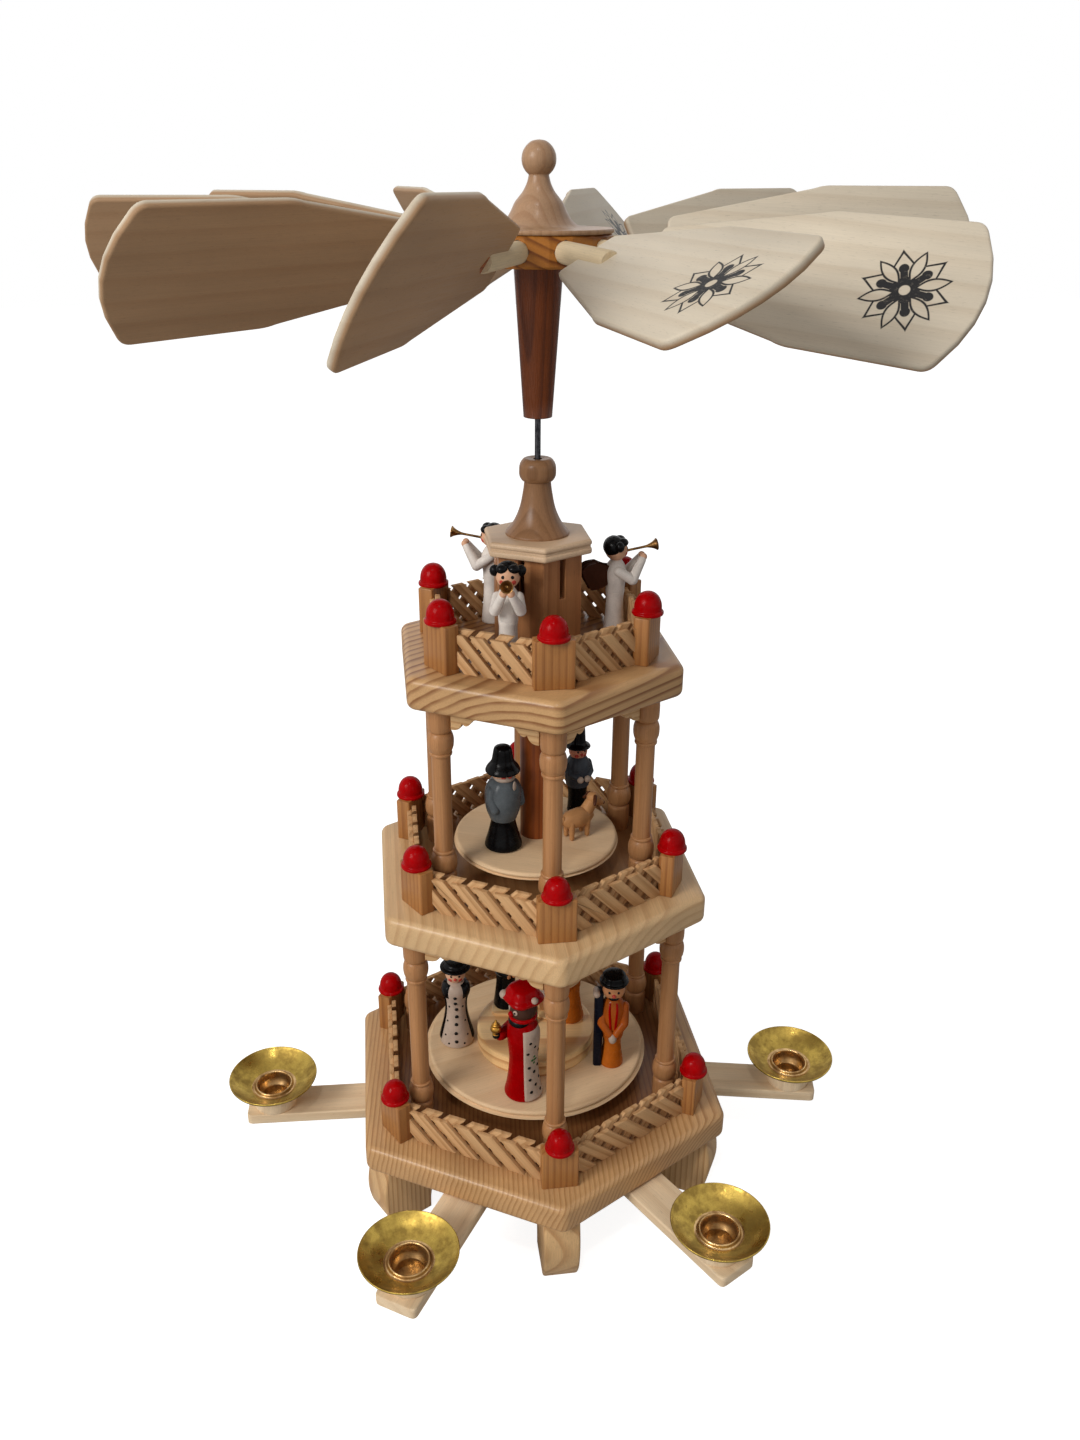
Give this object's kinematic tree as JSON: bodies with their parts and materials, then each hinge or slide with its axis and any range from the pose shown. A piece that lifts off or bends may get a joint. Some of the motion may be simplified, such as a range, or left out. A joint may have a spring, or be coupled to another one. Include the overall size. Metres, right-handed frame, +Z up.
{
  "type": "christmas pyramid",
  "caption": "Tiered wooden candle pyramid: warm air from candle dishes on swinging arms turns a bladed rotor and its tables of nativity figures.",
  "frame": {"origin": "on the standing surface, under the rod's axis, at the middle of the feet", "axes": "+Z up along the rod; the front corner of the six-sided plates points to -Y; +X is to the right seen from the front"},
  "size_m": [0.3007, 0.2961, 0.4271],
  "materials": {
    "pine": "clear varnish, satin",
    "grained_pine": "clear varnish, satin",
    "beech": "clear varnish, satin",
    "lattice": "bare",
    "plywood": "bare, with a printed flower on each blade",
    "dark_wood": "stained, gloss",
    "brass": "tarnished",
    "steel": "dark",
    "red_paint": "gloss paint on wood",
    "white_paint": "gloss paint on wood",
    "yellow_paint": "gloss paint on wood",
    "grey_paint": "gloss paint on wood",
    "blue_paint": "gloss paint on wood"
  },
  "bodies": {
    "stand": {"base_plate": "pine", "middle_plate": "pine", "upper_plate": "pine", "foot_1": "pine", "foot_2": "pine", "foot_3": "pine", "foot_4": "pine", "foot_5": "pine", "foot_6": "pine", "lower_column_1": "beech", "lower_column_2": "beech", "lower_column_3": "beech", "lower_column_4": "beech", "lower_column_5": "beech", "lower_column_6": "beech", "upper_column_1": "beech", "upper_column_2": "beech", "upper_column_3": "beech", "upper_column_4": "beech", "upper_column_5": "beech", "upper_column_6": "beech", "lower_fence": "lattice", "middle_fence": "lattice", "upper_fence": "lattice", "lantern_housing": "beech", "lantern_roof": "beech", "angel_1": "blue_paint", "angel_2": "blue_paint", "angel_3": "blue_paint"},
    "rotor": {"rod": "steel", "lower_turntable": "plywood", "upper_turntable": "plywood", "rotor_sleeve": "dark_wood", "rotor_hub": "grained_pine", "finial": "beech", "red_king": "red_paint", "white_king": "white_paint", "yellow_king": "yellow_paint", "holy_family": "yellow_paint", "shepherd_1": "grey_paint", "shepherd_2": "grey_paint", "sheep": "lattice"},
    "blade_1": {"blade_1": "plywood"},
    "blade_2": {"blade_2": "plywood"},
    "blade_3": {"blade_3": "plywood"},
    "blade_4": {"blade_4": "plywood"},
    "blade_5": {"blade_5": "plywood"},
    "blade_6": {"blade_6": "plywood"},
    "blade_7": {"blade_7": "plywood"},
    "blade_8": {"blade_8": "plywood"},
    "blade_9": {"blade_9": "plywood"},
    "blade_10": {"blade_10": "plywood"},
    "candle_arm_1": {"candle_arm_1": "pine", "candle_dish_1": "brass"},
    "candle_arm_2": {"candle_arm_2": "pine", "candle_dish_2": "brass"},
    "candle_arm_3": {"candle_arm_3": "pine", "candle_dish_3": "brass"},
    "candle_arm_4": {"candle_arm_4": "pine", "candle_dish_4": "brass"}
  },
  "joints": [
    {"name": "rotor_spin", "type": "hinge", "parent": "stand", "child": "rotor", "pos_m": [0, 0, 0.3], "axis": [0, 0, 1], "continuous": true},
    {"name": "blade_1_pitch", "type": "hinge", "parent": "rotor", "child": "blade_1", "pos_m": [-0.03982, 0.00383, 0.39365], "axis": [-0.9954, 0.0958, 0], "range_deg": [-29, 26]},
    {"name": "blade_2_pitch", "type": "hinge", "parent": "rotor", "child": "blade_2", "pos_m": [-0.03447, -0.0203, 0.39365], "axis": [-0.8616, -0.5075, 0], "range_deg": [-32, 23]},
    {"name": "blade_3_pitch", "type": "hinge", "parent": "rotor", "child": "blade_3", "pos_m": [-0.01595, -0.03668, 0.39365], "axis": [-0.3987, -0.9171, 0], "range_deg": [-36.5, 18.5]},
    {"name": "blade_4_pitch", "type": "hinge", "parent": "rotor", "child": "blade_4", "pos_m": [0.00866, -0.03905, 0.39365], "axis": [0.2164, -0.9763, 0], "range_deg": [-9, 46]},
    {"name": "blade_5_pitch", "type": "hinge", "parent": "rotor", "child": "blade_5", "pos_m": [0.02996, -0.02651, 0.39365], "axis": [0.749, -0.6626, 0], "range_deg": [-31, 24]},
    {"name": "blade_6_pitch", "type": "hinge", "parent": "rotor", "child": "blade_6", "pos_m": [0.03982, -0.00383, 0.39365], "axis": [0.9954, -0.0958, 0], "range_deg": [-47.5, 7.5]},
    {"name": "blade_7_pitch", "type": "hinge", "parent": "rotor", "child": "blade_7", "pos_m": [0.03447, 0.0203, 0.39365], "axis": [0.8616, 0.5075, 0], "range_deg": [-35, 20]},
    {"name": "blade_8_pitch", "type": "hinge", "parent": "rotor", "child": "blade_8", "pos_m": [0.01595, 0.03668, 0.39365], "axis": [0.3987, 0.9171, 0], "range_deg": [-29, 26]},
    {"name": "blade_9_pitch", "type": "hinge", "parent": "rotor", "child": "blade_9", "pos_m": [-0.00866, 0.03905, 0.39365], "axis": [-0.2164, 0.9763, 0], "range_deg": [-34, 21]},
    {"name": "blade_10_pitch", "type": "hinge", "parent": "rotor", "child": "blade_10", "pos_m": [-0.02996, 0.02651, 0.39365], "axis": [-0.749, 0.6626, 0], "range_deg": [-32, 23]},
    {"name": "candle_arm_1_swing", "type": "hinge", "parent": "stand", "child": "candle_arm_1", "pos_m": [-0.057, 0, 0.0287], "axis": [0, 0, 1], "range_deg": [-22, 28]},
    {"name": "candle_arm_2_swing", "type": "hinge", "parent": "stand", "child": "candle_arm_2", "pos_m": [-0.0285, -0.04936, 0.0287], "axis": [0, 0, 1], "range_deg": [-22.5, 27.5]},
    {"name": "candle_arm_3_swing", "type": "hinge", "parent": "stand", "child": "candle_arm_3", "pos_m": [0.0285, -0.04936, 0.0287], "axis": [0, 0, 1], "range_deg": [-24.5, 25.5]},
    {"name": "candle_arm_4_swing", "type": "hinge", "parent": "stand", "child": "candle_arm_4", "pos_m": [0.057, 0, 0.0287], "axis": [0, 0, 1], "range_deg": [-13, 37]}
  ]
}
